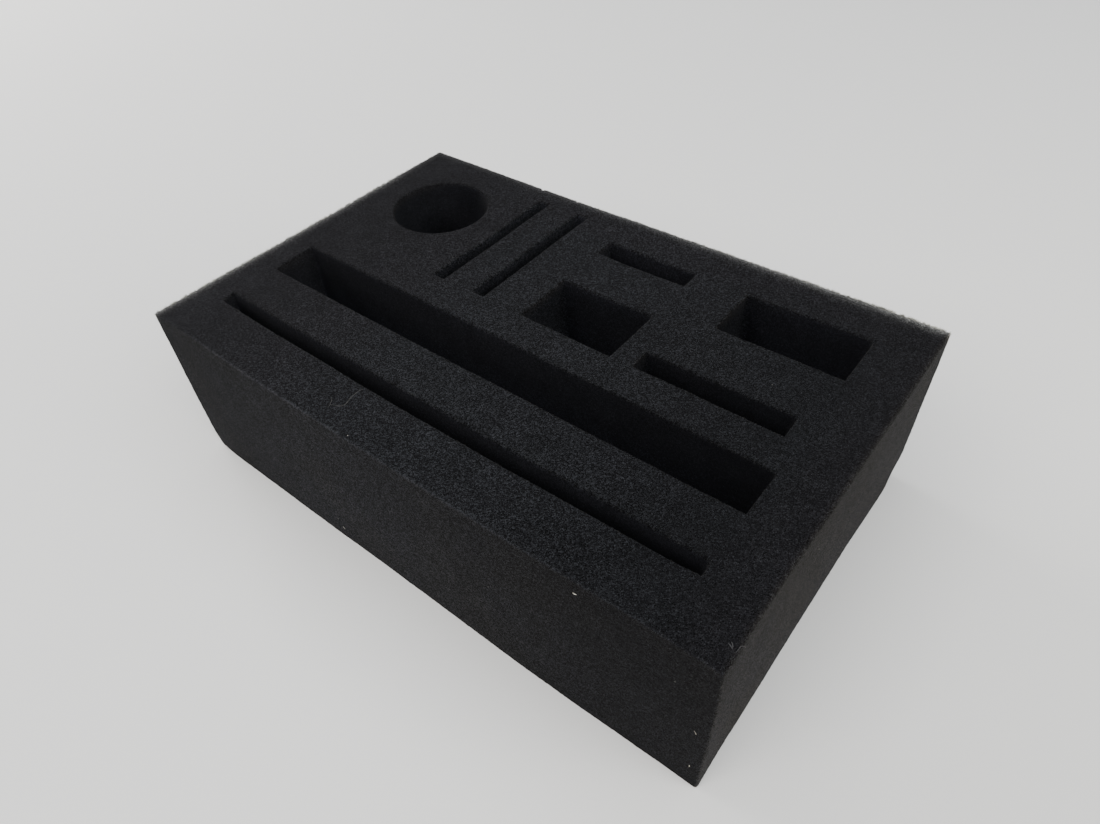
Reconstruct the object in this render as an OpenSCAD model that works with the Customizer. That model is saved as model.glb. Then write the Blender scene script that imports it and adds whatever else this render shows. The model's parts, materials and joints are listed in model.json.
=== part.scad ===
// Foam insert block: one piece of soft black foam with nine blind pockets cut
// straight down from its top face, each for one tool or small part.
// Sizes are millimetres. The origin is the middle of the base: +X runs along
// the length to the right, +Y to the back and +Z up.
//
// The pockets are placed by the foam left between them, from the left face and
// from the front face, so a pocket that grows moves its neighbours on and the
// block grows with them.

/* [Depth] */
// Depth of every pocket below the top face
pocket_depth = 70; // [20:1:150]
// Foam left under every pocket
floor_t = 20; // [5:1:60]

/* [Outer walls] */
// Foam between the left face and the two long slots
left_wall = 16; // [6:0.5:60]
// Foam between the right face and the pocket that reaches furthest right
right_wall = 23; // [6:0.5:60]
// Foam between the front face and the long narrow slot
front_wall = 24; // [6:0.5:60]
// Foam between the back face and the pocket that reaches furthest back
back_wall = 11.5; // [6:0.5:60]

/* [Long slots] */
// Length of both long slots
long_slot_l = 261; // [180:1:400]
// Width of the long narrow slot, at the front
narrow_slot_w = 7.5; // [5:0.5:30]
// Foam between the two long slots
long_slot_gap = 24.5; // [6:0.5:60]
// Width of the long wide slot
wide_slot_w = 24; // [8:0.5:60]

/* [Round pocket] */
// Diameter of the round pocket
round_d = 51; // [15:0.5:90]
// Foam between the left face and the round pocket
round_left_wall = 20; // [6:0.5:60]
// Foam between the long wide slot and the round pocket
round_front_wall = 40.5; // [6:0.5:80]

/* [Upright thin slots] */
// Length of both thin slots, from front to back
thin_slot_l = 82; // [30:1:150]
// Width of the left thin slot
thin_left_w = 6; // [5:0.5:20]
// Width of the right thin slot
thin_right_w = 7; // [5:0.5:20]
// Foam between the round pocket and the left thin slot
thin_left_wall = 16; // [6:0.5:60]
// Foam between the two thin slots
thin_slot_gap = 18; // [6:0.5:60]
// Foam between the long wide slot and the thin slots
thin_front_wall = 18.5; // [6:0.5:60]

/* [Middle column] */
// Foam between the right thin slot and the two pockets of the middle column
middle_left_wall = 23; // [6:0.5:60]
// Foam between the long wide slot and the front row of pockets
front_row_wall = 17.5; // [6:0.5:60]
// Length of the middle pocket
middle_pocket_l = 49.5; // [15:0.5:90]
// Width of the middle pocket, from front to back
middle_pocket_w = 32.5; // [8:0.5:60]
// Foam between the middle pocket and the short slot behind it
short_slot_wall = 27; // [6:0.5:60]
// Length of the short slot
short_slot_l = 49; // [15:0.5:90]
// Width of the short slot, from front to back
short_slot_w = 11.5; // [5:0.5:30]

/* [Right column] */
// Foam between the middle pocket and the medium slot
medium_slot_wall = 12; // [6:0.5:60]
// Length of the medium slot
medium_slot_l = 68; // [15:0.5:120]
// Width of the medium slot, from front to back
medium_slot_w = 11.5; // [5:0.5:30]
// Foam between the short slot and the wide pocket
wide_pocket_wall = 27.5; // [6:0.5:60]
// Length of the wide pocket
wide_pocket_l = 58.5; // [15:0.5:120]
// Width of the wide pocket, from front to back
wide_pocket_w = 29.5; // [8:0.5:60]
// Foam between the medium slot and the wide pocket behind it
wide_pocket_gap = 30; // [6:0.5:60]

/* [Hidden] */

foam_black = [0.15, 0.15, 0.16];
round_fn = 96;
// How far each cutting shape stands above the top face
cut_over = 1;

// Places of the pockets, from the left face and from the front face
narrow_slot_y = front_wall;
wide_slot_y = narrow_slot_y + narrow_slot_w + long_slot_gap;
behind_long_slots = wide_slot_y + wide_slot_w;

round_x = round_left_wall + round_d / 2;
round_y = behind_long_slots + round_front_wall + round_d / 2;

thin_left_x = round_left_wall + round_d + thin_left_wall;
thin_right_x = thin_left_x + thin_left_w + thin_slot_gap;
thin_slot_y = behind_long_slots + thin_front_wall;

middle_x = thin_right_x + thin_right_w + middle_left_wall;
front_row_y = behind_long_slots + front_row_wall;
short_slot_y = front_row_y + middle_pocket_w + short_slot_wall;

medium_slot_x = middle_x + middle_pocket_l + medium_slot_wall;
wide_pocket_x = middle_x + short_slot_l + wide_pocket_wall;
wide_pocket_y = front_row_y + medium_slot_w + wide_pocket_gap;

// The block reaches past its furthest pockets by the right and the back wall
block_l = right_wall + max(
    left_wall + long_slot_l,
    medium_slot_x + medium_slot_l,
    wide_pocket_x + wide_pocket_l);
block_w = back_wall + max(
    round_y + round_d / 2,
    thin_slot_y + thin_slot_l,
    short_slot_y + short_slot_w,
    wide_pocket_y + wide_pocket_w);
block_h = floor_t + pocket_depth;

// The space of a straight-sided pocket with its front left corner at x, y
module pocket_cut(x, y, l, w) {
    translate([x, y, floor_t])
        cube([l, w, pocket_depth + cut_over]);
}

// The space of the round pocket, with its axis at x, y
module round_cut(x, y, d) {
    translate([x, y, floor_t])
        cylinder(d = d, h = pocket_depth + cut_over, $fn = round_fn);
}

module long_slot_cuts() {
    pocket_cut(left_wall, narrow_slot_y, long_slot_l, narrow_slot_w);
    pocket_cut(left_wall, wide_slot_y, long_slot_l, wide_slot_w);
}

module thin_slot_cuts() {
    pocket_cut(thin_left_x, thin_slot_y, thin_left_w, thin_slot_l);
    pocket_cut(thin_right_x, thin_slot_y, thin_right_w, thin_slot_l);
}

module middle_column_cuts() {
    pocket_cut(middle_x, front_row_y, middle_pocket_l, middle_pocket_w);
    pocket_cut(middle_x, short_slot_y, short_slot_l, short_slot_w);
}

module right_column_cuts() {
    pocket_cut(medium_slot_x, front_row_y, medium_slot_l, medium_slot_w);
    pocket_cut(wide_pocket_x, wide_pocket_y, wide_pocket_l, wide_pocket_w);
}

module foam_block() {
    color(foam_black)
        translate([-block_l / 2, -block_w / 2, 0])
            difference() {
                cube([block_l, block_w, block_h]);
                long_slot_cuts();
                round_cut(round_x, round_y, round_d);
                thin_slot_cuts();
                middle_column_cuts();
                right_column_cuts();
            }
}

foam_block();
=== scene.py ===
import json
import math

import bpy
import numpy as np
from mathutils import Matrix, Vector, noise
from mathutils.bvhtree import BVHTree
from mathutils.geometry import delaunay_2d_cdt


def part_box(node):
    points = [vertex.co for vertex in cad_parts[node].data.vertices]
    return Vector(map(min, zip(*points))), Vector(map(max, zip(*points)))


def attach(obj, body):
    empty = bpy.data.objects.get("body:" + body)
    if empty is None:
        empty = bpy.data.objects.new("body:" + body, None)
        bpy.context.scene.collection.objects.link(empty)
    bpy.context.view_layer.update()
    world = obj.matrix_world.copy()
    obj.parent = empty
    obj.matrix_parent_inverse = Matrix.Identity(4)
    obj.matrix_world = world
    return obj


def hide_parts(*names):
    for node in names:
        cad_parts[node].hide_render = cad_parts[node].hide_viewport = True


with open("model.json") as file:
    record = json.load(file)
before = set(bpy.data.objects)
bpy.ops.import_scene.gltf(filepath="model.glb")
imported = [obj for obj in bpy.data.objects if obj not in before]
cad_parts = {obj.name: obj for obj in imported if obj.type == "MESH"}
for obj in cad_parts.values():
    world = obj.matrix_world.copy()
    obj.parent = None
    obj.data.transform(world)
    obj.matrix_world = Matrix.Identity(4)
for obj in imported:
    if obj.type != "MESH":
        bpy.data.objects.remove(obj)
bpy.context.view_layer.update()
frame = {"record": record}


# ---- The foam block ----
# One piece of soft open-cell polyurethane foam, sawn from a bun. The nine
# pockets are cut straight down with a thin blade, and every cut opens the
# cells and leaves a torn edge.

block_low, block_high = (np.array(corner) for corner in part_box("foam_block"))
block_height = block_high[2]

# The record's opening boxes stand this far inside the pocket walls
opening_inset = 0.00025
# How near a point must be to an outline to lie on it, and how near where the outline
# divides the mesh
skin_depth = 0.00001
mesh_gap = 1e-6

scene = bpy.context.scene
# Random draws and noise start from the same place each time
rng = np.random.default_rng(11)
noise.seed_set(11)


def unit(vectors):
    """The vectors, each brought to a length of 1."""
    return vectors / np.linalg.norm(vectors, axis=1, keepdims=True)


class Rectangle:
    """A straight-sided outline, seen from above."""

    def __init__(self, low, high):
        self.low = np.array(low[:2])
        self.high = np.array(high[:2])

    def ring(self, step, grow=0.0):
        """Points round the outline, moved out by grow, and the numbers of its corners."""
        (x0, y0), (x1, y1) = self.low - grow, self.high + grow
        corners = np.array([(x0, y0), (x1, y0), (x1, y1), (x0, y1)])
        points = []
        corner_numbers = []
        for start, end in zip(corners, np.roll(corners, -1, axis=0)):
            corner_numbers.append(len(points))
            count = round(math.dist(start, end) / step)
            points += [start + (end - start) * i / count for i in range(count)]
        return np.array(points), corner_numbers

    def outside(self, points):
        """How far each point lies outside the outline, below 0 inside it."""
        over = np.maximum(self.low - points, points - self.high)
        beyond = np.maximum(over, 0)
        return np.hypot(beyond[:, 0], beyond[:, 1]) + np.minimum(over.max(1), 0)

    def outward(self, points):
        """The direction straight away from the outline, at points on it or outside."""
        return unit(points - np.clip(points, self.low + skin_depth, self.high - skin_depth))


class Circle:
    """A round outline, seen from above."""

    def __init__(self, centre, radius):
        self.centre = np.array(centre[:2])
        self.radius = radius
        self.low = self.centre - radius
        self.high = self.centre + radius

    def ring(self, step, grow=0.0):
        count = 8 * round(2 * math.pi * self.radius / step / 8)
        angles = np.arange(count) * 2 * math.pi / count
        circle = np.column_stack([np.cos(angles), np.sin(angles)])
        return self.centre + circle * (self.radius + grow), []

    def outside(self, points):
        return np.linalg.norm(points - self.centre, axis=1) - self.radius

    def outward(self, points):
        return unit(points - self.centre)


openings = frame["record"]["physics"]["openings"]
round_mount = next(m for m in frame["record"]["mounts"] if m["name"] == "round_pocket")
outline = Rectangle(block_low, block_high)
slots = {
    opening["name"]: Rectangle(
        np.array(opening["box_m"][0]) - opening_inset,
        np.array(opening["box_m"][1]) + opening_inset,
    )
    for opening in openings
}
round_pocket = Circle(round_mount["pos_m"], round_mount["dims"]["r_mm"] / 1000)
pockets = [*slots.values(), round_pocket]
pocket_floor_z = round_mount["pos_m"][2] - round_mount["dims"]["length_mm"] / 2000

# Spacing of the mesh: the points along an edge, the rows beside a cut edge, and the
# columns beside an upright inner corner of a pocket
edge_step = 0.0005
edge_rows = (0.00035, 0.00075, 0.00125)
corner_rows = (0.0005, 0.0011, 0.0018, 0.0026)
# The points up an outer edge and up a pocket's corner
rise_step = 0.0012
pocket_rise_step = 0.003
# One in so many points of the upper edge goes on down to the lower one
deep_every = 9
base_every = 2
# The least distance between two points of a wall
point_gap = 0.00024
# Away from the edges: the distance from the edge where each band starts and ends, and
# the distance between its points
spacing_bands = [
    (0.0017, 0.0032, 0.0010),
    (0.0032, 0.0065, 0.0019),
    (0.0065, 0.0150, 0.0036),
    (0.0150, 1.0000, 0.0058),
]


def scattered(low, high, edge_distance):
    """Points scattered inside a rectangle, closer where edge_distance() is small."""
    kept = []
    for near, far, step in spacing_bands:
        xs = np.arange(low[0] + step / 2, high[0], step)
        ys = np.arange(low[1] + step / 2, high[1], step)
        grid = np.stack(np.meshgrid(xs, ys), -1).reshape(-1, 2)
        grid = grid + rng.uniform(-0.25, 0.25, grid.shape) * step
        away = edge_distance(grid)
        kept.append(grid[(away > near) & (away <= far)])
    return np.concatenate(kept)


def triangles(points, kept_edges):
    """Triangles between flat points that keep the given edges."""
    result = delaunay_2d_cdt([Vector(p) for p in points], kept_edges, [], 0, 1e-9, False)
    if len(result[0]) != len(points):
        raise ValueError("two points of a panel coincide, or two of its edges cross")
    return np.array(result[2])


def level(places, height):
    """The places, each with the same height added as its last number."""
    return np.column_stack([places, np.full(len(places), height)])


def loop_edges(start, count):
    return [(start + i, start + (i + 1) % count) for i in range(count)]


class Skin:
    """Collects the panels of the block and welds them where their edges meet."""

    def __init__(self):
        self.points = []
        self.faces = []
        self.count = 0

    def add(self, points, faces, flip=False):
        self.faces.append(faces[:, ::-1] + self.count if flip else faces + self.count)
        self.points.append(points)
        self.count += len(points)

    def welded(self):
        points = np.concatenate(self.points)
        keys = np.round(points * 1e7).astype(np.int64)
        _, first, same = np.unique(keys, axis=0, return_index=True, return_inverse=True)
        return points[first], same.reshape(-1)[np.concatenate(self.faces)]


def add_panel(skin, outer, outer_ring, holes, z, flip, rows):
    """A flat face at height z inside the outer ring, less the outlines in holes."""
    rings = [outer_ring] + [hole.ring(edge_step)[0] for hole in holes]
    kept_edges = []
    start = 0
    for ring in rings:
        kept_edges += loop_edges(start, len(ring))
        start += len(ring)

    def edge_distance(points):
        away = -outer.outside(points)
        for hole in holes:
            away = np.minimum(away, hole.outside(points))
        return away

    row_step = (outer.high - outer.low).sum() * 2 / len(outer_ring)
    beside = [outer.ring(row_step, -row)[0] for row in rows]
    beside += [hole.ring(edge_step, row)[0] for row in rows for hole in holes]
    flat = np.concatenate(rings + beside + [scattered(outer.low, outer.high, edge_distance)])
    faces = triangles(flat, kept_edges)
    centres = flat[faces].mean(1)
    solid = np.ones(len(faces), bool)
    for hole in holes:
        solid &= hole.outside(centres) > mesh_gap
    skin.add(level(flat, z), faces[solid], flip)


def thinned(count, corners, every):
    """Numbers of every so many points of a ring, and of its corners."""
    return sorted(set(range(0, count, every)) | set(corners))


def add_walls(skin, ring, corners, low_every, low_z, flip, sharp_sides):
    """The walls under a ring: spread out flat, meshed, and stood up again.

    sharp_sides says that the upright edges and the lower edge are cut edges too, as
    they are on the outside of the block but not in a pocket.
    """
    closed = np.vstack([ring, ring[:1]])
    along = np.concatenate([[0], np.cumsum(np.linalg.norm(np.diff(closed, axis=0), axis=1))])
    height = block_height - low_z
    low_numbers = thinned(len(ring), corners, low_every) + [len(ring)]
    seams = (corners or [0]) + [len(ring)]
    rise_count = round(height / (rise_step if sharp_sides else pocket_rise_step))
    rises = height * np.arange(1, rise_count) / rise_count

    def edge_distance(points):
        away = height - points[:, 1]
        if sharp_sides:
            away = np.minimum(away, points[:, 1])
            for seam in seams:
                away = np.minimum(away, np.abs(points[:, 0] - along[seam]))
        return away

    flat = [level(along, height), level(along[low_numbers], 0)]
    kept_edges = [(i, i + 1) for i in range(len(along) - 1)]
    kept_edges += [(len(along) + i, len(along) + i + 1) for i in range(len(low_numbers) - 1)]
    count = len(along) + len(low_numbers)
    for seam in seams:
        chain = [len(along) + low_numbers.index(seam)]
        chain += list(range(count, count + len(rises))) + [seam]
        kept_edges += list(zip(chain[:-1], chain[1:]))
        flat.append(np.column_stack([np.full(len(rises), along[seam]), rises]))
        count += len(rises)

    beside = [level(along, height - row) for row in edge_rows]
    if sharp_sides:
        beside += [level(along[low_numbers], row) for row in edge_rows]
    if corners:
        for row in edge_rows if sharp_sides else corner_rows:
            for seam in seams:
                for side in (-row, row):
                    beside.append(np.column_stack([np.full(len(rises), along[seam] + side), rises]))
    beside.append(scattered((0, 0), (along[-1], height), edge_distance))
    beside = np.concatenate(beside)
    inside = (beside[:, 0] > 0) & (beside[:, 0] < along[-1])
    for seam in seams:
        from_seam = np.abs(beside[:, 0] - along[seam])
        inside &= from_seam > edge_rows[0] - mesh_gap
    flat = np.concatenate(flat + [separated(beside[inside], point_gap)])
    x = np.interp(flat[:, 0], along, closed[:, 0])
    y = np.interp(flat[:, 0], along, closed[:, 1])
    skin.add(np.column_stack([x, y, low_z + flat[:, 1]]), triangles(flat, kept_edges), flip)


def separated(points, gap):
    """The points, less those that share a small square with an earlier one."""
    squares = np.floor(points / gap).astype(np.int64)
    first = np.unique(squares, axis=0, return_index=True)[1]
    return points[np.sort(first)]


# The panels: top, outer walls and base, then each pocket's walls and floor
skin = Skin()
outer_ring, outer_corners = outline.ring(edge_step)
base_ring = outer_ring[thinned(len(outer_ring), outer_corners, base_every)]
add_panel(skin, outline, outer_ring, pockets, block_height, False, edge_rows)
add_panel(skin, outline, base_ring, [], 0, True, edge_rows)
add_walls(skin, outer_ring, outer_corners, base_every, 0, False, True)
for pocket in pockets:
    ring, corners = pocket.ring(edge_step)
    deep_ring = ring[thinned(len(ring), corners, deep_every)]
    add_walls(skin, ring, corners, deep_every, pocket_floor_z, True, False)
    if corners:
        add_panel(skin, pocket, deep_ring, [], pocket_floor_z, False, [])
    else:
        spokes = len(deep_ring)
        disc = np.vstack([deep_ring, [pocket.centre]])
        fan = np.array([(i, (i + 1) % spokes, spokes) for i in range(spokes)])
        skin.add(level(disc, pocket_floor_z), fan)
points, faces = skin.welded()


def edge_closeness(points, reach):
    """1 on a cut edge of the block, falling to 0 at reach from it."""
    to_faces = np.abs(np.concatenate([points - block_low, block_high - points], axis=1))
    nearest = np.sort(np.minimum(to_faces[:, :3], to_faces[:, 3:]), axis=1)
    away = np.hypot(nearest[:, 0], nearest[:, 1])
    for pocket in pockets:
        aside = pocket.outside(points[:, :2])
        away = np.minimum(away, np.hypot(aside, block_height - points[:, 2]))
    return np.clip(1 - away / reach, 0, 1)


# Radius of the soft roll along the front, back and side rims of each pocket, and
# along the outer edges that hands have rubbed, with the length over which it fades
front_rim_roll = 0.0004
back_rim_roll = 0.0011
side_rim_roll = 0.0008
right_top_roll = 0.0021
right_front_roll = 0.0010
roll_fade = 0.006


def arc(first, second, radius):
    """Bends a square edge into an arc: the new depths under its two faces.

    first and second are a point's depths under the two faces, one of them 0.
    """
    safe = np.maximum(radius, 1e-9)
    angle = np.clip(1 + (first - second) / safe, 0, 2) * math.pi / 4
    bent = (first < radius) & (second < radius) & (np.minimum(first, second) < skin_depth)
    return (
        np.where(bent, safe * (1 - np.cos(angle)), first),
        np.where(bent, safe * (1 - np.sin(angle)), second),
    )


def rolled(points):
    """Rolls over the rims of the pockets and the two rubbed outer edges."""
    points = points.copy()
    for pocket in pockets:
        aside = pocket.outside(points[:, :2])
        near = np.flatnonzero((aside > -skin_depth) & (aside < back_rim_roll))
        aside = np.maximum(aside[near], 0)
        outward = pocket.outward(points[near, :2])
        front_or_back = np.where(outward[:, 1] > 0, back_rim_roll, front_rim_roll)
        radius = side_rim_roll * outward[:, 0] ** 2 + front_or_back * outward[:, 1] ** 2
        depth, new_aside = arc(block_height - points[near, 2], aside, radius)
        points[near, :2] += outward * (new_aside - aside)[:, None]
        points[near, 2] = block_height - depth
    right = block_high[0]
    ends = np.minimum(points[:, 1] - block_low[1], block_high[1] - points[:, 1])
    radius = right_top_roll * np.clip(ends / roll_fade, 0, 1) ** 0.5
    depth, aside = arc(block_height - points[:, 2], right - points[:, 0], radius)
    points[:, 0], points[:, 2] = right - aside, block_height - depth
    ends = np.minimum(points[:, 2], block_height - points[:, 2])
    radius = right_front_roll * np.clip(ends / roll_fade, 0, 1) ** 0.5
    depth, aside = arc(points[:, 1] - block_low[1], right - points[:, 0], radius)
    points[:, 0], points[:, 1] = right - aside, block_low[1] + depth
    return points


# The blade doesn't clear the upright corners of the slots. The radius that it leaves
# at the top of each, by the ways into the slot from there, then the radius deep down
# and the depth over which the one becomes the other
corner_fill_tops = {(1, 1): 0.0022, (1, -1): 0.0003, (-1, 1): 0.0003, (-1, -1): 0.0014}
corner_fill_deep = 0.0028
corner_fill_reach = 0.010


def filled_corners(points):
    """How far each point moves where the upright corners of the slots are filled."""
    moves = np.zeros_like(points)
    depth = np.clip((block_height - points[:, 2]) / corner_fill_reach, 0, 1)
    for slot in slots.values():
        on_wall = np.flatnonzero(np.abs(slot.outside(points[:, :2])) < skin_depth)
        from_low = np.maximum(points[on_wall, :2] - slot.low, 0)
        from_high = np.maximum(slot.high - points[on_wall, :2], 0)
        for x_side, from_end in ((1, from_low[:, 0]), (-1, from_high[:, 0])):
            for y_side, from_side in ((1, from_low[:, 1]), (-1, from_high[:, 1])):
                top = corner_fill_tops[x_side, y_side]
                radius = top + (corner_fill_deep - top) * depth[on_wall]
                new_end, new_side = arc(from_end, from_side, radius)
                moves[on_wall, 0] += x_side * (new_end - from_end)
                moves[on_wall, 1] += y_side * (new_side - from_side)
    return moves


# How often, and how far from the cut edges, the points are drawn together
edge_round_passes = 3
edge_round_reach = 0.0011


def rounded_edges(points, faces):
    """Draws the points near the cut edges towards their neighbours."""
    pairs = np.concatenate([faces[:, [0, 1]], faces[:, [1, 2]], faces[:, [2, 0]]])
    near = edge_closeness(points, edge_round_reach) > 0
    neighbours = np.bincount(pairs[:, 0], minlength=len(points))
    for _ in range(edge_round_passes):
        mean = np.column_stack([
            np.bincount(pairs[:, 0], points[pairs[:, 1], axis], len(points)) / neighbours
            for axis in range(3)
        ])
        points = np.where(near[:, None], (points + mean) / 2, points)
    return points


# How far the rims of each slot lean, in mm: its front rim backwards at the left end,
# the middle and the right end, its back rim likewise, and its right rim to the right
rim_leans = {
    "long_narrow_slot": ((0.65, 0.20, 0.70), (0.60, 0.15, 1.25), 0.65),
    "long_wide_slot": ((0.60, 0.00, 0.45), (0.10, 0.30, -0.80), 0.1),
    "left_thin_slot": ((-0.15, -0.15, -0.15), (0.50, 0.50, 0.50), 0.0),
    "right_thin_slot": ((0.20, 0.20, 0.20), (1.10, 1.10, 1.10), 0.0),
    "middle_pocket": ((0.60, 0.20, 0.00), (0.45, 0.30, 0.35), 0.5),
    "short_slot": ((0.45, 0.30, 0.60), (0.35, 0.20, 0.35), 0.4),
    "medium_slot": ((0.00, 0.05, -0.25), (-0.10, -0.45, -0.05), 0.4),
    "wide_pocket": ((0.05, 0.10, -0.05), (-0.50, 0.45, -0.15), 0.4),
}
# How far beside a rim, and how far down, the foam leans with it
lean_reach = 0.0045
lean_depth = 0.009


def leaned(points):
    """Leans the rims of the slots, with the foam close to them."""
    moved = points.copy()
    x, y, z = points.T
    height = np.clip(1 - (block_height - z) / lean_depth, 0, 1) ** 2

    def share(across, along, low, high):
        beyond = np.maximum(np.maximum(low - along, along - high), 0)
        return np.clip(1 - (across ** 2 + beyond ** 2) / lean_reach ** 2, 0, 1) ** 2 * height

    for name, (front_lean, back_lean, right_lean) in rim_leans.items():
        (low_x, low_y), (high_x, high_y) = slots[name].low, slots[name].high
        stops = np.linspace(low_x, high_x, 3)
        for rim_y, lean in ((low_y, front_lean), (high_y, back_lean)):
            lean = np.interp(x, stops, lean) / 1000
            moved[:, 1] += share(y - rim_y, x, low_x, high_x) * lean
        moved[:, 0] += share(x - high_x, y, low_y, high_y) * right_lean / 1000
    return moved


# The strip of foam in front of the long narrow slot bows out: its front face, the
# slot's front wall, the pinch at the slot's two ends, and the share left at the base
front_bow = 0.0015
slot_front_bow = 0.00145
slot_end_pinch = 0.0006
base_bow_share = 0.45


def bowed(points):
    """Bows the strip in front of the long narrow slot forwards, most at its middle."""
    slot = slots["long_narrow_slot"]
    middle = (slot.low[0] + slot.high[0]) / 2
    half = (slot.high[0] - slot.low[0]) / 2
    along = np.clip((points[:, 0] - middle) / half, -1, 1)
    back = np.clip((points[:, 1] - block_low[1]) / (slot.low[1] - block_low[1]), 0, 1)
    shift = -front_bow * (1 - along ** 4) ** 2.5 * (1 - back)
    shift += (slot_end_pinch - slot_front_bow * (1 - along ** 2) ** 1.5) * back
    behind = np.clip((points[:, 1] - slot.low[1]) / (slot.high[1] - slot.low[1]), 0, 1)
    height = np.clip(points[:, 2] / block_height, 0, 1)
    shift *= (1 - behind) * (base_bow_share + (1 - base_bow_share) * height)
    return points + np.column_stack([np.zeros_like(shift), shift, np.zeros_like(shift)])


# Small swellings and hollows, in mm: the middle of each, its reach and its shift
swells = [
    ((-150, -96, 50), (20, 50, 85), (-1.15, 0, 0)),
    ((-150, 96, 90), (40, 40, 60), (-0.25, 0.30, 0)),
    ((85, -96, 0), (65, 20, 30), (0, -1.05, 0)),
    ((150, 10, 0), (20, 50, 20), (-0.45, 0, 0)),
    ((150, -96, 55), (15, 15, 40), (1.10, 0, 0)),
    ((-134, -71.5, 90), (5, 8, 60), (2.00, 0, 0)),
    ((-134, -28, 90), (6, 16, 60), (1.15, 0, 0)),
    ((-134, -40, 90), (4, 4, 30), (1.80, 0, 0)),
    ((-9, 18, 90), (6, 16, 30), (0.65, 0, 0)),
    ((52.5, 7, 90), (5, 8, 30), (-0.35, 0, 0)),
    ((-63, 43, 90), (3, 14, 30), (0.55, 0, 0)),
    ((-63, 16, 90), (3, 12, 30), (-0.62, 0, 0)),
    ((-63, 69, 90), (3, 12, 30), (-0.22, 0, 0)),
    ((-57, 68, 90), (3, 14, 30), (-0.40, 0, 0)),
    ((-39, 31, 90), (3, 20, 30), (0.50, 0, 0)),
    ((-32, 68, 90), (3, 14, 30), (-0.40, 0, 0)),
    ((-49, -64.5, 90), (18, 3, 30), (0, -0.28, 0)),
    ((29, -64.5, 90), (18, 3, 30), (0, -0.45, 0)),
    ((68, -64.5, 90), (18, 3, 30), (0, 0.16, 0)),
    ((29, -16, 90), (18, 5, 30), (0, -0.35, 0)),
    ((107, 13, 90), (12, 4, 30), (0, 0.30, 0)),
    ((127, -72, 90), (8, 4, 60), (0, 0.70, 0)),
]


def swelled(points):
    """Presses the swellings and hollows into the faces and the rims."""
    moved = points.copy()
    for middle, reach, shift in np.array(swells) / 1000:
        away = (points - middle) / reach
        moved += np.exp(-(away ** 2).sum(1))[:, None] * shift
    return moved


# How far each lower corner is rubbed back, by its side and its end
corner_rubs = {(-1, -1): 0.0006, (1, -1): -0.0002, (1, 1): 0.0017, (-1, 1): 0.0008}
corner_rub_reach = 0.012
# The share of that by which it also rises
corner_rub_rise = 0.7


def rubbed_corners(points):
    """Draws the four lower corners of the block in and up a little."""
    moved = points.copy()
    for (side, end), rub in corner_rubs.items():
        corner = np.array((side * block_high[0], end * block_high[1], 0))
        away = np.linalg.norm(points - corner, axis=1) / corner_rub_reach
        inwards = np.array((-side, -end, corner_rub_rise)) * rub
        moved += inwards * np.exp(-2.5 * away ** 2)[:, None]
    return moved


# No sawn face is quite flat: the size and the length of the slow waves and of the
# quick ones. The foam has settled flat up to this height
sway_size = 0.00022
sway_length = 0.045
ripple_size = 0.00010
ripple_length = 0.011
settled_height = 0.012


def swayed(points):
    """Gives the sawn faces and pocket walls their slow, shallow unevenness."""
    free = np.clip(points[:, 2] / settled_height, 0, 1)
    slow = np.array([noise.noise_vector(Vector(p) / sway_length) for p in points])
    quick = np.array([noise.noise_vector(Vector(p) / ripple_length) for p in points])
    shift = slow * sway_size + quick * ripple_size
    shift[:, 2] *= free
    return points + shift


# The cells that the cuts have opened: their width, how deep they tear and how far from
# the edge, then the share of that depth that the pits take and their mean, and the
# depth and the width of the shreds between them
cell_size = 0.00075
tear_depth = 0.00026
tear_reach = 0.0016
pit_depth = 1.1
mean_pit = 0.52
shred_depth = 0.35
shred_share = 0.45


def torn(points, normals, closeness):
    """Opens the foam's cells along the cut edges: a pit for each, struts between."""
    near = np.flatnonzero(closeness > 0)
    pits = np.array([noise.voronoi(Vector(points[i]) / cell_size)[0][0] for i in near])
    ragged = np.array([noise.noise(Vector(points[i]) / (cell_size * shred_share)) for i in near])
    depth = (pits - mean_pit) * pit_depth + ragged * shred_depth
    points = points.copy()
    points[near] += normals[near] * (depth * tear_depth * closeness[near] ** 0.8)[:, None]
    return points


# Two small nicks in the back top edge: place along it, width and depth
back_edge_nicks = [(-0.0702, 0.0013, 0.0007), (-0.0465, 0.0009, 0.0007)]


def nicked(points):
    """Cuts the small nicks into the back top edge."""
    points = points.copy()
    for x, width, depth in back_edge_nicks:
        away = points - np.array((x, block_high[1], block_height))
        share = np.clip(1 - np.abs(away[:, 0]) / width, 0, 1)
        share *= np.exp(-((away[:, 1] ** 2 + away[:, 2] ** 2) / (2 * depth) ** 2))
        points -= share[:, None] * depth * np.array((0, 1, 1))
    return points


# The painted highlight of the front top edge and of the right front edge: how pale it is,
# and how wide. It comes in patches about this long
front_edge_highlight = 2.3
front_edge_highlight_reach = 0.0009
right_edge_highlight = 0.3
right_edge_highlight_reach = 0.0005
highlight_patch = 0.006
# The front top edge's painted highlight is strongest in its left half, but for the very
# corner: places along it, and the share of its highlight there
highlight_places = (-0.1365, -0.100, -0.094, 0.300)
highlight_shares = (0.15, 0.88, 0.985, 0)


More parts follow.
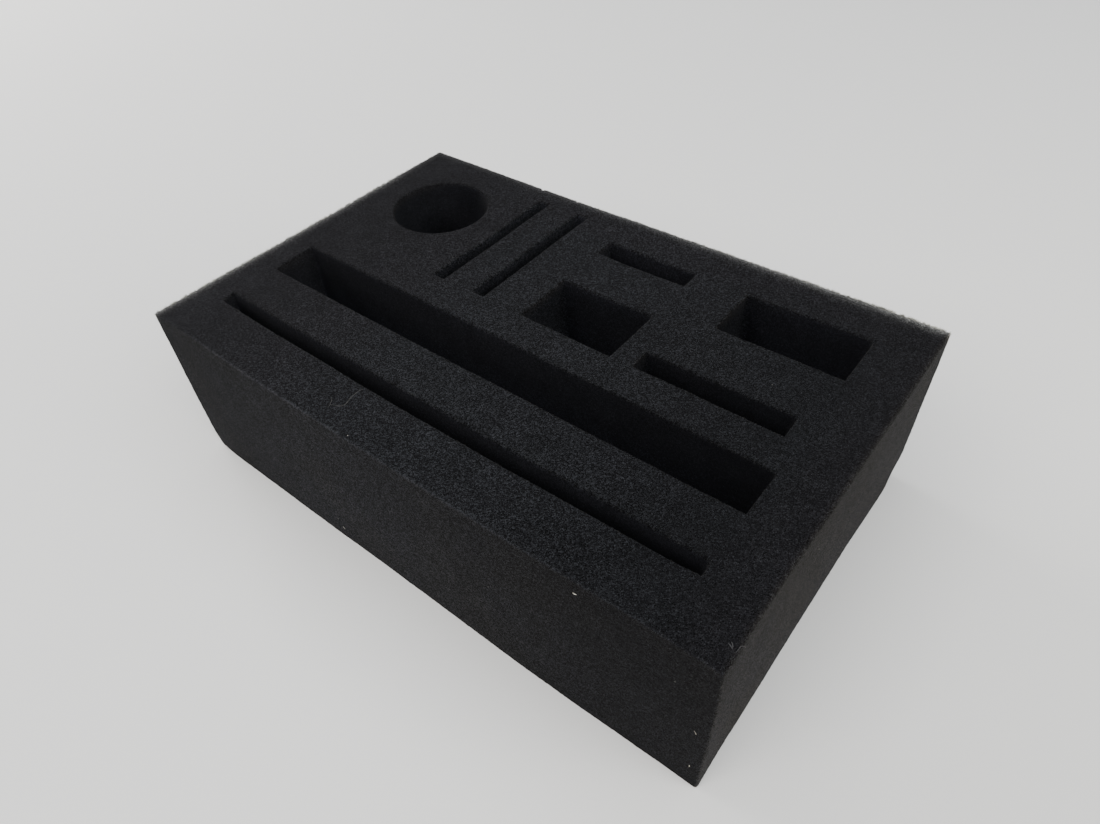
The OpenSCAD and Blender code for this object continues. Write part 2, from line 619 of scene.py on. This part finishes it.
def edge_wear(points):
    """Painted highlight: 1 where the struts of an outer edge catch the light, 0 away from it."""
    front_highlight = front_edge_highlight * np.interp(points[:, 0], highlight_places, highlight_shares)
    edges = [
        ((0, block_low[1], block_height), 0, front_edge_highlight_reach, front_highlight),
        ((block_high[0], block_low[1], 0), 2, right_edge_highlight_reach, right_edge_highlight),
    ]
    lit_edge = np.zeros(len(points))
    for place, along, reach, strength in edges:
        away = np.delete(points - np.array(place), along, axis=1)
        share = np.clip(1 - np.linalg.norm(away, axis=1) / reach, 0, 1)
        lit_edge = np.maximum(lit_edge, share * strength)
    for i in np.flatnonzero(lit_edge > 0):
        lit_edge[i] *= 0.75 + 0.5 * noise.noise(Vector(points[i]) / highlight_patch)
    return lit_edge


# How far from the back and left top edges the fuzz is pale with painted rim light
fringe_reach = 0.0013
left_fringe_reach = 0.85 * fringe_reach
# Places along the two edges between which the paleness changes, and its two values: the
# back edge grows paler to the right, and the left edge darker near its back
back_fringe_places = (-0.10, 0.14)
back_fringe_shares = (0.40, 1.85)
left_fringe_places = (0.050, 0.080)
left_fringe_shares = (1.55, 0.60)


def fuzz_and_rim_light_share(points):
    """How pale the fuzz and its painted rim light are by the back and left top edges, 1 to 0."""
    depth = block_height - points[:, 2]
    back = np.hypot(points[:, 1] - block_high[1], depth) / fringe_reach
    left = np.hypot(points[:, 0] - block_low[0], depth) / left_fringe_reach
    rising = np.interp(points[:, 0], back_fringe_places, (0, 1)) ** 1.5
    rising = np.interp(rising, (0, 1), back_fringe_shares)
    falling = np.interp(points[:, 1], left_fringe_places, left_fringe_shares)
    share = np.maximum(np.exp(-back) * rising, np.exp(-left) * falling)
    return np.where(share > 0.01, share, 0)


# Light that comes through the foam into the pockets. Under a rim
rim_glow = 0.25
rim_glow_depth = 0.0025
# In a corner, at the left end of the block and from its middle on
corner_glow = (1.1, 0.4)
corner_glow_reach = 0.0028
corner_glow_depth = 0.015
# The share of that on the end wall beside it
end_wall_glow = 0.35
# Deep in the slots, and the depths over which it rises to that
deep_glow = 0.90
deep_glow_depths = (0.017, 0.030)
# In a thin slot, which is less wide than this
thin_slot_glow = 0.30
thin_slot_width = 0.010


def leaked_light(points):
    """How much paler the foam is where light comes through it into a pocket.

    It shows under the front and back rims, in each left back corner, deep in the
    slots, and all over the thin ones.
    """
    leaks = np.zeros(len(points))
    depth = block_height - points[:, 2]
    deep = np.clip(depth / corner_glow_depth, 0, 1)
    for pocket in pockets:
        near = np.flatnonzero(np.abs(pocket.outside(points[:, :2])) < skin_depth)
        if pocket.high[0] - pocket.low[0] < thin_slot_width:
            leaks[near] += thin_slot_glow
        facing = pocket.outward(points[near, :2])[:, 1] ** 2
        leaks[near] += facing * rim_glow * np.exp(-depth[near] / rim_glow_depth)
        if pocket is not round_pocket:
            corner = np.array((pocket.low[0], pocket.high[1]))
            away = np.linalg.norm(points[near, :2] - corner, axis=1) / corner_glow_reach
            glow = np.interp(pocket.low[0], (block_low[0], 0), corner_glow)
            glow *= end_wall_glow + (1 - end_wall_glow) * facing
            leaks[near] += glow * np.exp(-away) * deep[near]
            leaks[near] += np.interp(depth[near], deep_glow_depths, (0, deep_glow))
    return leaks


# The depth under a rim over which the outer face turns into the pocket's wall
pocket_side_depth = 0.0015


def inside_pockets(points):
    """1 on the walls and floors of the pockets, 0 on the outer faces."""
    aside = np.minimum.reduce([pocket.outside(points[:, :2]) for pocket in pockets])
    depth = np.clip((block_height - points[:, 2]) / pocket_side_depth, 0, 1)
    return np.where(aside < mesh_gap, depth, 0) * (points[:, 2] > pocket_floor_z - mesh_gap)


def mesh_object(name, points, faces, material, **marks):
    """A smooth-shaded mesh with sharp folds, and with a number of each mark at each point."""
    mesh = bpy.data.meshes.new(name)
    mesh.from_pydata(points.tolist(), [], faces.tolist())
    mesh.polygons.foreach_set("use_smooth", np.ones(len(faces), bool))
    mesh.set_sharp_from_angle(angle=math.radians(60))
    mesh.materials.append(material)
    for mark, values in marks.items():
        mesh.attributes.new(mark, "FLOAT", "POINT").data.foreach_set("value", values)
    piece = bpy.data.objects.new(name, mesh)
    scene.collection.objects.link(piece)
    return piece


def crossed_sides(points, faces):
    """The outward direction of each face, twice its area long."""
    a, b, c = (points[faces[:, k]] for k in range(3))
    return np.cross(b - a, c - a)


def corner_normals(points, faces):
    """The outward direction at each point, from the faces round it."""
    across = crossed_sides(points, faces)
    total = np.column_stack([
        sum(np.bincount(faces[:, k], across[:, axis], len(points)) for k in range(3))
        for axis in range(3)
    ])
    return unit(total)


class Nodes:
    """Adds shader nodes to a new material and links them up."""

    def __init__(self, name):
        self.material = bpy.data.materials.new(name)
        self.material.use_nodes = True
        self.tree = self.material.node_tree
        self.shader = self.tree.nodes["Principled BSDF"]

    def put(self, node, sockets):
        for key, value in sockets.items():
            if isinstance(value, bpy.types.NodeSocket):
                self.tree.links.new(value, node.inputs[key])
            else:
                node.inputs[key].default_value = value

    def add(self, kind, sockets, **settings):
        node = self.tree.nodes.new("ShaderNode" + kind)
        for key, value in settings.items():
            setattr(node, key, value)
        self.put(node, sockets)
        return node.outputs

    def math(self, operation, *values):
        """One step of arithmetic on one, two or three values or sockets."""
        return self.add("Math", dict(enumerate(values)), operation=operation)[0]

    def times(self, first, second):
        return self.math("MULTIPLY", first, second)

    def plus(self, first, second):
        return self.math("ADD", first, second)

    def line(self, value, slope, start):
        """start, and slope times the value."""
        return self.math("MULTIPLY_ADD", value, slope, start)

    def spread(self, value, low, high, to_low=0.0, to_high=1.0):
        """Maps low..high smoothly to to_low..to_high."""
        sockets = {0: value, 1: low, 2: high, 3: to_low, 4: to_high}
        return self.add("MapRange", sockets, interpolation_type="SMOOTHSTEP")[0]

    def blend(self, share, first, second):
        """A colour between two: the first at share 0, the second at share 1."""
        return self.add("Mix", {"Factor": share, 6: first, 7: second}, data_type="RGBA")[2]

    def mark(self, name):
        """What the mesh carries under this name at each of its points."""
        return self.add("Attribute", {}, attribute_name=name)["Fac"]

    def millimetres(self):
        """The place on the piece in millimetres."""
        place = self.add("TexCoord", {})["Object"]
        return self.add("VectorMath", {0: place, 1: (1000, 1000, 1000)}, operation="MULTIPLY")[0]

    def clouds(self, place, scale, detail):
        """Soft noise from 0 to 1, with about scale clouds to the millimetre."""
        return self.add("TexNoise", {"Vector": place, "Scale": scale, "Detail": detail})[0]


# How the foam's cells lie: turned slantwise across the block, drawn out along it and a
# little upright, with so many large and small ones to the millimetre
cell_turn = math.radians(45)
cell_stretch = (1.18, 0.92, 1.28)
large_cells = 1.95
small_cells = 3.3
# How far the cells stray from an even pattern in millimetres, and their depth in metres
cell_drift = 0.5
cell_relief = 0.00022
# The foam's tone away from the glints, which the contrast turns about
mean_tone = 0.16
# Its colours: the dark of a cell; the dye of the sides where it is warmest and where it
# is bluest; that of the top at its ends and back, and in its middle; the painted bluish
# shade tints of the pockets' long walls and end walls; and the painted rim light on the
# pale fuzz of the far edges
cell_black = (0.0004, 0.0004, 0.0005, 1)
warm_side = (0.0540, 0.0543, 0.0602, 1)
blue_side = (0.0520, 0.0533, 0.0630, 1)
violet_top = (0.0541, 0.0540, 0.0626, 1)
green_top = (0.0515, 0.0541, 0.0624, 1)
long_wall_shade_tint = (0.0480, 0.0502, 0.0650, 1)
end_wall_shade_tint = (0.0505, 0.0512, 0.0590, 1)
rim_lit_fuzz_colour = (0.46, 0.46, 0.45, 1)


class FoamNodes(Nodes):
    """The nodes of the black foam, and where on the block each spot is."""

    def __init__(self):
        super().__init__("black_foam")
        self.body = self.millimetres()
        self.lengthwise, self.widthwise, self.height = self.add("SeparateXYZ", {0: self.body})
        facing = self.add("SeparateXYZ", {0: self.add("NewGeometry", {})["Normal"]})
        self.pocket_side = self.mark("pocket_side")
        self.outer_side = self.math("SUBTRACT", 1.0, self.pocket_side)
        self.end_face = self.math("ABSOLUTE", facing[0])
        self.front_face = self.times(self.math("ABSOLUTE", facing[1]), self.outer_side)
        self.upward = facing[2]
        self.add_cells()

    def add_cells(self):
        """The cells that the saw has opened: pits, struts, and small glints in them."""
        lie = {"Vector": self.body, "Rotation": (0, 0, cell_turn), "Scale": cell_stretch}
        place = self.add("Mapping", lie, vector_type="TEXTURE")[0]
        half = (0.5, 0.5, 0.5)
        drift = self.add("TexNoise", {"Vector": place, "Scale": 1.1, "Detail": 1.0})["Color"]
        drift = self.add("VectorMath", {0: drift, 1: half}, operation="SUBTRACT")[0]
        drift = self.add("VectorMath", {0: drift, 1: (cell_drift,) * 3}, operation="MULTIPLY")[0]
        self.place = self.add("VectorMath", {0: place, 1: drift}, operation="ADD")[0]
        large = {"Vector": self.place, "Scale": large_cells}
        small = {"Vector": self.place, "Scale": small_cells}
        cell = self.add("TexVoronoi", large, feature="F1")
        wall = self.add("TexVoronoi", large, feature="DISTANCE_TO_EDGE")
        small_cell = self.add("TexVoronoi", small, feature="F1")
        self.picks = self.add("SeparateColor", {0: cell["Color"]})
        self.small_picks = self.add("SeparateColor", {0: small_cell["Color"]})
        self.strut = self.spread(wall["Distance"], 0.02, 0.16, 1.0, 0.0)
        self.pit = self.spread(cell["Distance"], 0.1, 0.62, 0.0, 1.0)
        glint = self.spread(small_cell["Distance"], 0.15, 0.6, 1.0, 0.15)
        self.glint = self.times(glint, self.small_picks[1])


def cell_tone(n):
    """How light each spot of a cell is."""
    tone = n.line(n.math("POWER", n.picks[0], 3.0), 0.24, 0.01)
    tone = n.line(n.math("POWER", n.glint, 3.0), 0.95, tone)
    tone = n.line(n.strut, 0.14, tone)
    return n.times(tone, n.line(n.pit, 0.7, 0.65))


def cell_contrast(n):
    """Strongest where the cells open widest, and weak where the blade laid them down."""
    contrast = n.spread(n.math("ABSOLUTE", n.upward), 0.2, 0.8, 1.12, 1.0)
    contrast = n.times(contrast, n.spread(n.lengthwise, -135, -45, 0.60, 1.6))
    contrast = n.times(contrast, n.spread(n.lengthwise, 60, 125, 1.0, 0.58))
    contrast = n.times(contrast, n.line(n.end_face, 0.6, 1.0))
    return n.times(contrast, n.line(n.pocket_side, -0.72, 1.0))


def painted_shade(n):
    """Painted shade to the right end and a little behind, and painted light at the left end."""
    share = n.math("SUBTRACT", n.line(n.front_face, 0.75, 1.0), n.end_face)
    share = n.times(share, n.spread(n.widthwise, -80, 80, 1.3, 0.7))
    share = n.times(share, n.spread(n.lengthwise, -30, 120, 0.0, -0.15))
    share = n.plus(share, n.spread(n.widthwise, -70, 70, 0.0, -0.05))
    return n.plus(share, n.spread(n.lengthwise, -145, -105, 0.08, 0.0))


def painted_floor_bounce(n):
    """Painted floor bounce: paler low on the sawn sides and darker high, the ends most."""
    outer_end = n.times(n.end_face, n.outer_side)
    share = n.times(n.front_face, n.spread(n.height, 0, 90, 0.20, -0.13))
    share = n.line(outer_end, n.spread(n.height, 0, 90, 0.24, -0.24), share)
    return n.line(outer_end, n.spread(n.height, 0, 14, 0.22, 0.0), share)


def light_in_pockets(n):
    """Light that comes through the pocket walls, most at the left ends and behind."""
    at_end = n.times(n.end_face, n.spread(n.lengthwise, -60, 80, 0.35, -0.25))
    share = n.plus(n.mark("leaked_light"), at_end)
    share = n.plus(share, n.spread(n.widthwise, 30, 85, 0.0, 0.24))
    return n.times(n.pocket_side, share)


def foam_tone(n):
    """How light the foam is at each spot, from black at 0 to its dye at 1."""
    tone = n.math("SUBTRACT", cell_tone(n), mean_tone)
    tone = n.math("MAXIMUM", n.line(tone, cell_contrast(n), mean_tone), 0.0)
    mottle = n.clouds(n.place, 0.09, 3.0)
    tone = n.times(tone, n.spread(mottle, 0.3, 0.7, 0.94, 1.14))
    # Each of these, painted shade or painted light, makes it larger or smaller by a share of itself
    for share in (painted_shade(n), painted_floor_bounce(n), light_in_pockets(n)):
        tone = n.line(tone, share, tone)
    # The painted highlight along the front top edge and the right front edge
    return n.line(n.mark("edge_wear"), n.line(tone, 0.5, 0.12), tone)


def dye_and_wall_shade_colour(n):
    """The dye's slowly changing tints, and painted bluish shade tints on the pocket walls."""
    tint = n.clouds(n.place, 0.022, 2.0)
    side = n.blend(n.spread(tint, 0.35, 0.65), warm_side, blue_side)
    middle = n.spread(n.widthwise, 66, 84, 1.0, 0.0)
    middle = n.times(n.spread(n.lengthwise, -80, -30), middle)
    middle = n.times(middle, n.spread(n.lengthwise, 122, 148, 1.0, 0.2))
    greenness = n.times(middle, n.spread(tint, 0.3, 0.7, 0.75, 1.15))
    top = n.blend(greenness, violet_top, green_top)
    outer = n.blend(n.spread(n.upward, 0.3, 0.8), side, top)
    # Painted bluish shade tints on the pocket walls
    wall = n.blend(n.end_face, long_wall_shade_tint, end_wall_shade_tint)
    return n.blend(n.pocket_side, outer, wall)


def foam_colour(n):
    """The foam's tones in its dye, with the pale fuzz and painted rim light of the far edges."""
    colour = n.blend(foam_tone(n), cell_black, dye_and_wall_shade_colour(n))
    speckle = n.line(n.math("POWER", n.glint, 2.0), 4.5, 0.12)
    rim_light = n.times(n.mark("fringe"), n.math("MINIMUM", speckle, 1.6))
    return n.blend(rim_light, colour, rim_lit_fuzz_colour)


def foam_bump(n):
    """The cells' depth, which is less where the blade has laid them down."""
    relief = n.line(n.strut, 0.6, n.times(n.pit, 0.4))
    relief = n.line(n.small_picks[0], 0.35, relief)
    strength = n.line(n.pocket_side, -0.35, 0.6)
    bump = {"Height": relief, "Strength": strength, "Distance": cell_relief}
    return n.add("Bump", bump)[0]


def foam_material():
    """Black open-cell foam: pits under a millimetre wide between thin struts."""
    n = FoamNodes()
    n.put(n.shader, {
        "Base Color": foam_colour(n),
        "Normal": foam_bump(n),
        "Roughness": n.spread(n.picks[1], 0.0, 1.0, 0.72, 0.95),
        "Specular IOR Level": 0.03,
        "Sheen Weight": 0.012,
        "Sheen Roughness": 0.6,
    })
    return n.material


closeness = edge_closeness(points, tear_reach)
fringe = fuzz_and_rim_light_share(points)
marks = {
    "edge_wear": edge_wear(points),
    "fringe": fringe,
    "pocket_side": inside_pockets(points),
    "leaked_light": leaked_light(points),
}
points = rounded_edges(rolled(points) + filled_corners(points), faces)
points = swayed(rubbed_corners(swelled(bowed(leaned(points)))))
points = nicked(torn(points, corner_normals(points, faces), closeness))
points[:, 2] = np.maximum(points[:, 2], 0)
foam = mesh_object("foam", points, faces, foam_material(), **marks)
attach(foam, "root")
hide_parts("foam_block")


# ---- Torn strut ends ----
# The foam's own struts, broken by the saw and the blade. They stand out of
# the cut edges as a short fringe, and take more light than the cells behind.

strut_count = 42000
strut_length = (0.00020, 0.00075)
strut_radius = (0.000026, 0.000048)
# How deep each one is rooted, and how far it leans at most times, as a share
strut_root = 0.00012
strut_lean = 0.55
# They crowd towards the edges and into the pale fringe, where they are longer too
edge_crowding = 2.5
fringe_crowding = 6
fringe_stretch = 1.1
# One in so many struts of the fringe is a stout one, so many times as thick
stout_share = 0.12
stout_times = 2.2
# They stand in tufts about this long. The foot of the block has none up to this height
tuft_length = 0.0016
tuft_strength = 3.0
bare_foot = 0.0006
# The tips stay this far over the floor
floor_gap = 0.00002


def strut_seats(points, faces, closeness, fringe):
    """The faces that the struts stand on, and a spot on each."""
    corners = points[faces]
    area = np.linalg.norm(crossed_sides(points, faces), axis=1) / 2
    edge_share = closeness[faces].mean(1) ** edge_crowding * (1 + fringe_crowding * fringe)
    edge_share[corners[:, :, 2].max(1) < bare_foot] = 0
    centres = corners.mean(1) / tuft_length
    for i in np.flatnonzero(edge_share > 0):
        edge_share[i] *= max(1 + tuft_strength * noise.noise(Vector(centres[i])), 0.1)
    weight = area * edge_share
    chosen = rng.choice(len(faces), strut_count, p=weight / weight.sum())
    u, v = rng.uniform(0, 1, (2, strut_count))
    u, v = np.where(u + v > 1, 1 - u, u), np.where(u + v > 1, 1 - v, v)
    corner = corners[chosen]
    seats = corner[:, 0] + u[:, None] * (corner[:, 1] - corner[:, 0])
    seats += v[:, None] * (corner[:, 2] - corner[:, 0])
    return chosen, seats


def strut_ends(points, faces, closeness, fringe):
    """Thin three-sided cones that grow from the faces beside the cut edges."""
    fringe = fringe[faces].mean(1)
    chosen, seats = strut_seats(points, faces, closeness, fringe)
    fringe = fringe[chosen]
    outward = unit(crossed_sides(points, faces[chosen]))
    direction = outward + rng.normal(0, strut_lean, (strut_count, 3))
    direction += outward * np.maximum(0.25 - (direction * outward).sum(1), 0)[:, None]
    direction = unit(direction)
    share = rng.beta(1.3, 3.0, strut_count)
    length = strut_length[0] + (strut_length[1] - strut_length[0]) * share
    length *= 1 + fringe_stretch * fringe
    radius = rng.uniform(*strut_radius, strut_count)
    stout = rng.uniform(0, 1, strut_count) < stout_share
    radius *= 1 + (stout_times - 1) * stout * np.clip(2 * fringe, 0, 1)
    side = unit(np.cross(direction, np.roll(direction, 1, axis=1)))
    other = np.cross(direction, side)
    root = seats - direction * strut_root
    ring = [
        root + radius[:, None] * (math.cos(t) * side + math.sin(t) * other)
        for t in (0, 2 * math.pi / 3, 4 * math.pi / 3)
    ]
    tip = seats + direction * length[:, None]
    cone_points = np.stack(ring + [tip], axis=1).reshape(-1, 3)
    cone_points[:, 2] = np.maximum(cone_points[:, 2], floor_gap)
    cone_faces = np.array([(0, 2, 1), (0, 1, 3), (1, 2, 3), (2, 0, 3)])
    start = 4 * np.arange(strut_count)
    cones = (start[:, None, None] + cone_faces).reshape(-1, 3)
    return cone_points, cones, np.repeat(fringe, 4)


# The struts' colours: in shade, in the light, and in the pale fuzz with painted rim light
shaded_strut = (0.008, 0.008, 0.008, 1)
lit_strut = (0.060, 0.061, 0.060, 1)
rim_lit_strut = (0.55, 0.55, 0.50, 1)


def strut_material():
    """Bare struts: the foam's black, paler with painted rim light in the fuzz of far edges."""
    n = Nodes("torn_struts")
    place = n.millimetres()
    patches = n.clouds(place, 0.35, 2.0)
    single = n.clouds(place, 2.6, 1.0)
    tone = n.times(
        n.spread(patches, 0.35, 0.65, 0.35, 1.1),
        n.spread(single, 0.3, 0.7, 0.2, 1.1),
    )
    colour = n.blend(tone, shaded_strut, lit_strut)
    n.put(n.shader, {
        "Base Color": n.blend(n.times(n.mark("fringe"), tone), colour, rim_lit_strut),
        "Roughness": n.spread(single, 0.2, 0.8, 0.5, 0.8),
        "Specular IOR Level": 0.25,
    })
    return n.material


cone_points, cones, cone_fringe = strut_ends(points, faces, closeness, fringe)
struts = mesh_object("torn_strut_ends", cone_points, cones, strut_material(), fringe=cone_fringe)
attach(struts, "root")


# ---- Lint ----
# Specks of pale lint and a few short textile fibres that have settled on the
# foam. The torn cells hold them, and some stand off the surface a little.

# Each one, in mm: its radius at its middle, how clean it is from 0, grey with dust, to
# 1, and the stops that it runs through on each face. A stop is two distances along the
# face, from the middle of the block or from the floor, and the height over it.
lint = [
    (0.16, 1.0, {"front": [(95.6, 83.3, 0.2), (96.4, 83.45, 0.3), (97.1, 83.6, 0.2)]}),
    (0.10, 0.4, {"front": [(-45.2, 9.5, 0.1), (-44.5, 8.9, 0.2), (-44.0, 8.0, 0.1)]}),
    (0.08, 0.2, {"front": [(-47.2, 14.7, 0.1), (-46.6, 14.1, 0.1)]}),
    (0.09, 0.4, {"front": [(145.0, 44.2, 0.1), (146.1, 43.6, 0.4), (145.6, 42.6, 0.1)]}),
    (0.13, 0.9, {"front": [(145.9, 15.9, 0.1), (146.0, 14.6, 0.1)]}),
    (0.07, 0.3, {"front": [(135.5, 68.4, 0.1), (135.8, 67.9, 0.1)]}),
    (0.07, 0.2, {"front": [(53.7, 49.0, 0.1), (54.0, 48.6, 0.1)]}),
    (0.09, 0.4, {"top": [(104.1, 24.0, 0.1), (104.4, 24.1, 0.1)]}),
    (0.08, 0.3, {"top": [(-66.1, 18.4, 0.1), (-65.7, 18.6, 0.1)]}),
    (0.08, 0.2, {"top": [(-27.2, 2.1, 0.1), (-26.8, 2.3, 0.1)]}),
    (0.08, 0.2, {"top": [(-12.0, 20.1, 0.1), (-11.6, 20.3, 0.1)]}),
    (0.13, 0.8, {"top": [(-14.8, -95.7, 0.2), (-14.4, -95.7, 0.2)]}),
    (0.14, 0.03, {"top": [(146.3, -86.1, 0.2), (147.3, -86.6, 0.3), (148.3, -87.1, 0.2)]}),
    (0.13, 0.03, {"top": [(146.8, -85.2, 0.2), (147.6, -85.9, 0.4), (148.2, -86.8, 0.2)]}),
    (0.12, 0.01, {"top": [(149.6, -87.3, 0.1), (149.7, -85.8, 0.3), (149.8, -84.4, 0.3)],
                  "right": [(-83.3, 88.3, 0.4), (-82.5, 86.6, 0.4)]}),
    (0.07, 0.08, {"top": [(-29.7, -73.6, 0.2), (-30.3, -75.9, 0.2), (-29.9, -80.4, 0.3),
                          (-28.8, -84.5, 0.3), (-29.8, -86.6, 0.4), (-33.8, -88.1, 0.4)]}),
    (0.06, 0.08, {"top": [(-36.9, -84.6, 0.2), (-35.3, -86.0, 0.3), (-33.9, -88.1, 0.3),
                          (-33.2, -89.8, 0.2)]}),
    (0.10, 0.3, {"right": [(-22.6, 69.2, 0.1), (-22.2, 68.8, 0.1)]}),
    (0.07, 0.1, {"right": [(-24.2, 76.0, 0.1), (-23.8, 75.3, 0.1)]}),
]
# The axis that each face lies across, its side of the block, and the two axes that
# its distances run along
face_axes = {"front": (1, -1, 0, 2), "top": (2, 1, 0, 1), "right": (0, 1, 1, 2)}
# A thread's flat sides, and its steps from one stop to the next
lint_sides = 6
lint_steps = 6
surface = BVHTree.FromPolygons(points.tolist(), faces.tolist())


def on_surface(face, along, across, height):
    """The point at a height over the foam, where a face is met straight on."""
    axis, side, first, second = face_axes[face]
    start = np.zeros(3)
    start[axis] = (block_high if side > 0 else block_low)[axis] + side * 0.01
    start[first] = along / 1000
    start[second] = across / 1000
    inwards = np.zeros(3)
    inwards[axis] = -side
    hit = surface.ray_cast(Vector(start), Vector(inwards))[0]
    return np.array(hit) - inwards * height / 1000


def smooth_path(stops):
    """A smooth line through the stops (a Catmull-Rom spline)."""
    padded = np.vstack([2 * stops[0] - stops[1], stops, 2 * stops[-1] - stops[-2]])
    path = []
    for a, b, c, d in zip(padded[:-3], padded[1:-2], padded[2:-1], padded[3:]):
        for t in np.arange(lint_steps) / lint_steps:
            path.append(
                0.5 * (2 * b + (c - a) * t + (2 * a - 5 * b + 4 * c - d) * t ** 2
                       + (3 * b - a - 3 * c + d) * t ** 3)
            )
    return np.array(path + [stops[-1]])


def fibre(path, radius):
    """A closed six-sided thread along a path, thickest at its middle."""
    ahead = unit(np.gradient(path, axis=0))
    side = unit(np.cross(ahead, (0.36, 0.48, 0.8)))
    other = np.cross(ahead, side)
    along = np.linspace(0, 1, len(path))
    wide = radius * (0.25 + 0.75 * np.sin(math.pi * along) ** 0.5)
    wide *= rng.uniform(0.8, 1.2, len(path))
    angles = 2 * math.pi * np.arange(lint_sides) / lint_sides
    rings = [
        path + wide[:, None] * (math.cos(angle) * side + math.sin(angle) * other)
        for angle in angles
    ]
    ring_points = np.stack(rings, axis=1).reshape(-1, 3)
    last = (len(path) - 1) * lint_sides
    count = len(ring_points)
    thread = []
    for i in range(lint_sides):
        j = (i + 1) % lint_sides
        thread += [(count, j, i), (count + 1, last + i, last + j)]
        for row in range(0, last, lint_sides):
            thread += [(row + i, row + j, row + lint_sides + j)]
            thread += [(row + i, row + lint_sides + j, row + lint_sides + i)]
    return np.vstack([ring_points, path[:1], path[-1:]]), np.array(thread)


# The lint's colours, and how thick the strands on it look, in metres
dust_grey = (0.047, 0.048, 0.055, 1)
clean_cream = (0.80, 0.78, 0.69, 1)
strand_relief = 0.00004


def lint_material():
    """Undyed textile fibre: cream and matt, greyer where dust sits on it."""
    n = Nodes("pale_lint")
    place = n.millimetres()
    dust = n.clouds(place, 1.3, 2.0)
    strands = n.clouds(place, 9.0, 1.0)
    clean = n.times(n.mark("clean"), n.spread(dust, 0.3, 0.7, 0.7, 1.0))
    bump = {"Height": strands, "Strength": 0.5, "Distance": strand_relief}
    n.put(n.shader, {
        "Base Color": n.blend(clean, dust_grey, clean_cream),
        "Normal": n.add("Bump", bump)[0],
        "Roughness": n.spread(strands, 0.3, 0.7, 0.7, 0.9),
        "Specular IOR Level": 0.1,
    })
    return n.material


lint_points = []
lint_faces = []
lint_clean = []
for radius, clean, runs in lint:
    stops = [on_surface(face, *stop) for face, run in runs.items() for stop in run]
    path = smooth_path(np.array(stops))
    thread_points, thread = fibre(path, radius / 1000)
    lint_faces.append(thread + len(lint_clean))
    lint_points.append(thread_points)
    lint_clean += [clean] * len(thread_points)
lint_points = np.concatenate(lint_points)
lint_faces = np.concatenate(lint_faces)
lint_piece = mesh_object("lint", lint_points, lint_faces, lint_material(), clean=lint_clean)
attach(lint_piece, "root")


# ---- Floor ----
# A plain pale surface, wide enough to fill the view from every side.

floor_reach = 6.0
floor_shade = (0.89, 0.89, 0.89, 1)
floor_light = (0.92, 0.92, 0.92, 1)


def floor_material():
    """Matt pale card with faint clouds."""
    n = Nodes("pale_floor")
    clouds = n.clouds(n.millimetres(), 0.004, 3.0)
    n.put(n.shader, {
        "Base Color": n.blend(clouds, floor_shade, floor_light),
        "Roughness": 0.9,
        "Specular IOR Level": 0.1,
    })
    return n.material


floor_points = np.array([(-1, -1, 0), (1, -1, 0), (1, 1, 0), (-1, 1, 0)]) * floor_reach
floor = mesh_object("floor", floor_points, np.array([(0, 1, 2, 3)]), floor_material())


# ---- Light ----
# Soft studio light: a pale surround, a wide box overhead, large ones to the right,
# the front and the left, and a small warm one low on the right.


def softbox(name, place, aim, width, height, power, colour):
    """A lit box that points from its place to its aim and isn't seen itself."""
    light = bpy.data.lights.new(name, "AREA")
    light.shape = "RECTANGLE"
    light.size = width
    light.size_y = height
    light.energy = power
    light.color = colour
    lamp = bpy.data.objects.new(name, light)
    scene.collection.objects.link(lamp)
    lamp.location = place
    lamp.visible_camera = False
    lamp.rotation_euler = (Vector(aim) - Vector(place)).to_track_quat("-Z", "Y").to_euler()


softbox("overhead_box", (0, 0, 2.6), (0, 0, 0), 3.0, 3.0, 33, (0.92, 0.97, 1.0))
softbox("right_box", (2.2, 0.1, 1.8), (0, 0, 0), 2.0, 2.0, 50, (0.95, 0.98, 1.0))
softbox("front_box", (-0.5, -2.0, 2.0), (0, 0, 0), 1.6, 1.6, 42, (1.0, 0.95, 0.88))
softbox("left_box", (-1.5, 0.0, 0.8), (0, 0, 0.05), 1.2, 0.8, 19, (1.0, 0.97, 0.93))
softbox("right_low_box", (1.1, 0.05, 0.11), (0, 0, 0.03), 1.0, 0.2, 9, (1.0, 0.83, 0.56))

scene.world = bpy.data.worlds.new("surround")
scene.world.use_nodes = True
surround = scene.world.node_tree.nodes["Background"]
surround.inputs["Color"].default_value = (0.96, 0.98, 1.0, 1)
surround.inputs["Strength"].default_value = 0.3


# ---- Camera ----
# Looks down on the block from its front right.

eye = Vector((0.18427, -0.20389, 0.30337))
target = Vector((0.01931, -0.01516, 0.045))
roll = math.radians(-3.986)
camera_data = bpy.data.cameras.new("camera")
camera_data.sensor_width = 36
camera_data.lens = 25.35
camera_data.shift_y = 0.0178
camera = bpy.data.objects.new("camera", camera_data)
scene.collection.objects.link(camera)
camera.matrix_world = (
    Matrix.Translation(eye)
    @ (target - eye).to_track_quat("-Z", "Y").to_matrix().to_4x4()
    @ Matrix.Rotation(roll, 4, "Z")
)
scene.camera = camera
